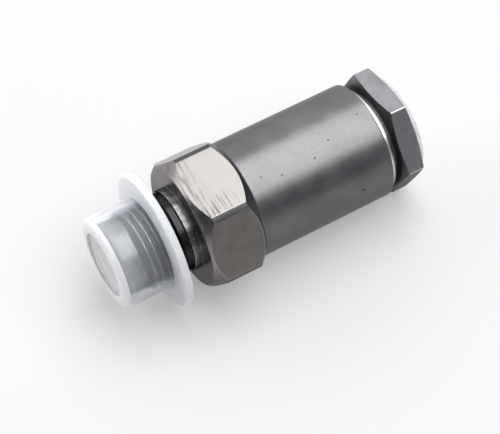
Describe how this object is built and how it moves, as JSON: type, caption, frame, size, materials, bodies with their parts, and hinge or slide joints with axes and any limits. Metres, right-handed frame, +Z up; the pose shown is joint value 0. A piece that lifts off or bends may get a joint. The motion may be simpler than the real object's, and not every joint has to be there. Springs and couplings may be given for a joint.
{
  "type": "fuel pressure relief valve",
  "caption": "Screw-in fuel pressure relief valve: threaded nose, spanner hexagon, spring body, hexagon outlet plug with its sealing ring, and push-on transport caps at both ends.",
  "frame": {"origin": "on the valve's axis, in the plane of the shoulder in front of the larger hexagon", "axes": "+X along the valve's axis from the inlet nose to the outlet plug, +Z up as the valve lies on its side"},
  "size_m": [0.0695, 0.0304, 0.029],
  "materials": {
    "housing_steel": "satin gunmetal grey, fine turned and milled",
    "plug_steel": "satin mid grey, fine brushed",
    "ring_steel": "bright polished",
    "hard_steel": "ground and hardened",
    "plate_steel": "turned",
    "shim_steel": "ground flat",
    "spring_steel": "blued drawn wire",
    "copper": "soft annealed",
    "cap_plastic": "milky translucent moulded polyethylene"
  },
  "bodies": {
    "housing": {"valve_housing": "housing_steel", "seat_washer": "copper", "inlet_seat": "hard_steel", "guide_sleeve": "hard_steel", "main_spring": "spring_steel", "rear_spring_plate": "plate_steel", "stop_pin": "hard_steel", "shim_thin": "shim_steel", "shim_middle": "shim_steel", "shim_thick": "shim_steel", "outlet_plug": "plug_steel", "sealing_ring": "ring_steel"},
    "valve_member": {"valve_ball": "hard_steel", "ball_holder": "hard_steel", "valve_piston": "hard_steel", "front_spring_plate": "plate_steel"},
    "inlet_cap": {"front_cap": "cap_plastic"},
    "outlet_cap": {"rear_cap": "cap_plastic"}
  },
  "joints": [
    {"name": "valve_lift", "type": "slide", "parent": "housing", "child": "valve_member", "axis": [1, 0, 0], "range_m": [0, 0.0015], "stiffness_N_per_m": 1000, "springref_m": -0.0004, "deforming": ["main_spring"]},
    {"name": "front_cap_pull", "type": "slide", "parent": "housing", "child": "inlet_cap", "axis": [-1, 0, 0], "range_m": [0, 0.02]},
    {"name": "rear_cap_pull", "type": "slide", "parent": "housing", "child": "outlet_cap", "axis": [1, 0, 0], "range_m": [0, 0.012]}
  ]
}
